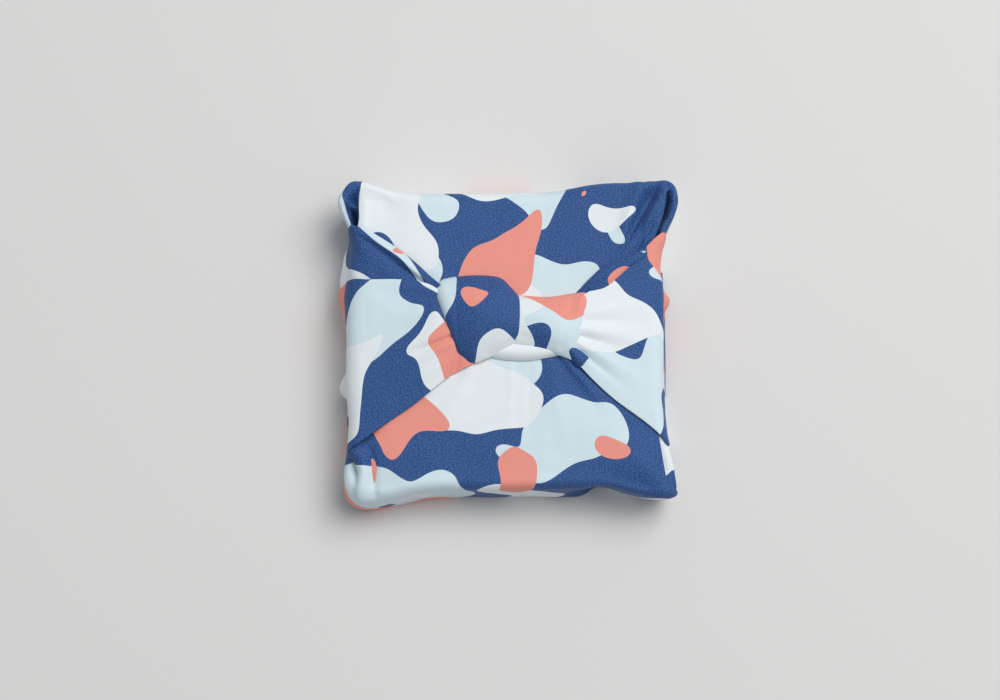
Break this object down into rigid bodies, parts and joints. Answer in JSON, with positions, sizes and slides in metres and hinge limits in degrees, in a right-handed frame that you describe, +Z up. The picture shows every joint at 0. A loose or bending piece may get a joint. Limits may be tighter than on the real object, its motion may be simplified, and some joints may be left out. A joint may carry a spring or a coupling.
{
  "type": "furoshiki wrap",
  "caption": "Square printed cloth tied around a low square parcel: smooth flaps folded over the top, cup-shaped ears at the corners, and two tails tied in a flat knot.",
  "frame": {"origin": "middle of the footprint, on the surface that the wrap rests on", "axes": "+Z up through the knot, +Y to the back, +X to the right along the two tails, which is the longest side"},
  "size_m": [0.214, 0.2058, 0.0618],
  "materials": {
    "printed_cloth": "fine twill with a faint satin sheen, printed on one side with rounded camouflage-like shapes in navy, ice blue, white and coral"
  },
  "bodies": {
    "root": {"furoshiki_cloth": "printed_cloth"}
  },
  "joints": []
}
